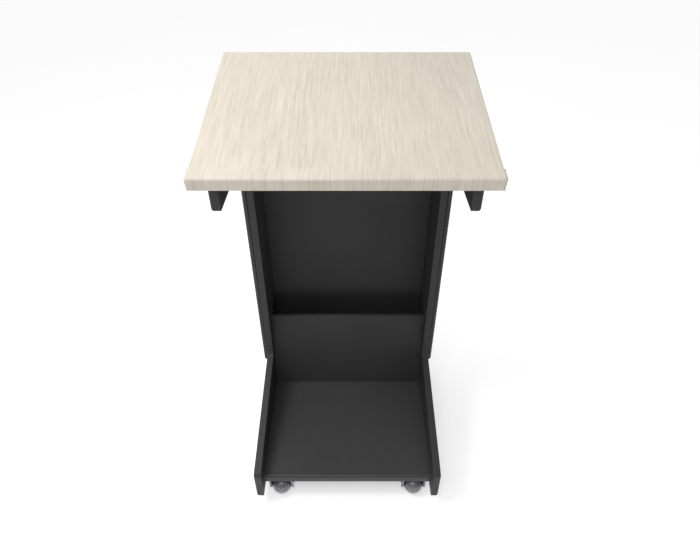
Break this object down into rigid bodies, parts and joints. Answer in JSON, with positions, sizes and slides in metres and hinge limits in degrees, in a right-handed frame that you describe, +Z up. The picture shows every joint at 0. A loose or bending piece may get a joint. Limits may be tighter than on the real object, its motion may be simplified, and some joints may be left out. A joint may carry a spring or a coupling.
{
  "type": "lectern stand",
  "caption": "Mobile lectern with a raked wood-grain reading top and book stop on C-shaped dark side panels, a deep column with pocket, a low shelf and ball casters.",
  "frame": {"origin": "on the floor at the middle of the footprint", "axes": "+Z up, +Y away from the speaker, +X to the speaker's right"},
  "size_m": [0.61, 0.584, 1.2071],
  "materials": {
    "top_laminate": "satin pale wood-grain laminate, fine straight grain front to back",
    "charcoal_panel": "satin charcoal faced board with softened edges",
    "charcoal_shelf": "satin charcoal faced board, slightly glossier",
    "charcoal_plastic": "matte",
    "beech": "raw turned beech",
    "zinc_screw": "zinc plated",
    "black_screw": "black oxide",
    "bracket_steel": "black powder coat",
    "caster_steel": "bright zinc plated",
    "bearing_steel": "polished",
    "caster_fork": "polished plate",
    "wheel_core": "glossy grey moulding",
    "wheel_tread": "grey non-marking rubber"
  },
  "bodies": {
    "stand": {"top_board": "top_laminate", "book_stop": "top_laminate", "book_stop_dowels": "beech", "side_panel_right": "charcoal_panel", "side_panel_left": "charcoal_panel", "column_cover_right": "charcoal_panel", "column_cover_left": "charcoal_panel", "bottom_shelf": "charcoal_shelf", "back_panel": "charcoal_panel", "pocket_panel": "charcoal_panel", "top_rail": "charcoal_panel", "shelf_dowels": "beech", "back_panel_dowels": "beech", "pocket_dowels": "beech", "top_rail_dowels": "beech", "panel_screws": "zinc_screw", "screw_caps": "charcoal_plastic", "cover_screws": "black_screw", "board_brackets": "bracket_steel", "bracket_board_screws": "zinc_screw", "bracket_panel_screws": "zinc_screw", "caster_screws": "zinc_screw", "front_left_caster_plate": "caster_steel", "front_left_caster_race": "caster_steel", "front_left_caster_balls": "bearing_steel", "front_left_caster_kingpin": "caster_steel", "front_right_caster_plate": "caster_steel", "front_right_caster_race": "caster_steel", "front_right_caster_balls": "bearing_steel", "front_right_caster_kingpin": "caster_steel", "rear_left_caster_plate": "caster_steel", "rear_left_caster_race": "caster_steel", "rear_left_caster_balls": "bearing_steel", "rear_left_caster_kingpin": "caster_steel", "rear_right_caster_plate": "caster_steel", "rear_right_caster_race": "caster_steel", "rear_right_caster_balls": "bearing_steel", "rear_right_caster_kingpin": "caster_steel"},
    "front_left_fork": {"front_left_caster_fork": "caster_fork", "front_left_caster_axle": "caster_steel"},
    "front_left_wheel": {"front_left_caster_wheel_core": "wheel_core", "front_left_caster_tread": "wheel_tread"},
    "front_right_fork": {"front_right_caster_fork": "caster_fork", "front_right_caster_axle": "caster_steel"},
    "front_right_wheel": {"front_right_caster_wheel_core": "wheel_core", "front_right_caster_tread": "wheel_tread"},
    "rear_left_fork": {"rear_left_caster_fork": "caster_fork", "rear_left_caster_axle": "caster_steel"},
    "rear_left_wheel": {"rear_left_caster_wheel_core": "wheel_core", "rear_left_caster_tread": "wheel_tread"},
    "rear_right_fork": {"rear_right_caster_fork": "caster_fork", "rear_right_caster_axle": "caster_steel"},
    "rear_right_wheel": {"rear_right_caster_wheel_core": "wheel_core", "rear_right_caster_tread": "wheel_tread"}
  },
  "joints": [
    {"name": "front_left_swivel", "type": "hinge", "parent": "stand", "child": "front_left_fork", "pos_m": [-0.20711, -0.22851, 0.065], "axis": [0, 0, 1], "continuous": true},
    {"name": "front_left_roll", "type": "hinge", "parent": "front_left_fork", "child": "front_left_wheel", "pos_m": [-0.20711, -0.24551, 0.03], "axis": [1, 0, 0], "continuous": true},
    {"name": "front_right_swivel", "type": "hinge", "parent": "stand", "child": "front_right_fork", "pos_m": [0.20711, -0.22851, 0.065], "axis": [0, 0, 1], "continuous": true},
    {"name": "front_right_roll", "type": "hinge", "parent": "front_right_fork", "child": "front_right_wheel", "pos_m": [0.20711, -0.24551, 0.03], "axis": [1, 0, 0], "continuous": true},
    {"name": "rear_left_swivel", "type": "hinge", "parent": "stand", "child": "rear_left_fork", "pos_m": [-0.20711, 0.22851, 0.065], "axis": [0, 0, 1], "continuous": true},
    {"name": "rear_left_roll", "type": "hinge", "parent": "rear_left_fork", "child": "rear_left_wheel", "pos_m": [-0.20711, 0.21151, 0.03], "axis": [1, 0, 0], "continuous": true},
    {"name": "rear_right_swivel", "type": "hinge", "parent": "stand", "child": "rear_right_fork", "pos_m": [0.20711, 0.22851, 0.065], "axis": [0, 0, 1], "continuous": true},
    {"name": "rear_right_roll", "type": "hinge", "parent": "rear_right_fork", "child": "rear_right_wheel", "pos_m": [0.20711, 0.21151, 0.03], "axis": [1, 0, 0], "continuous": true}
  ]
}
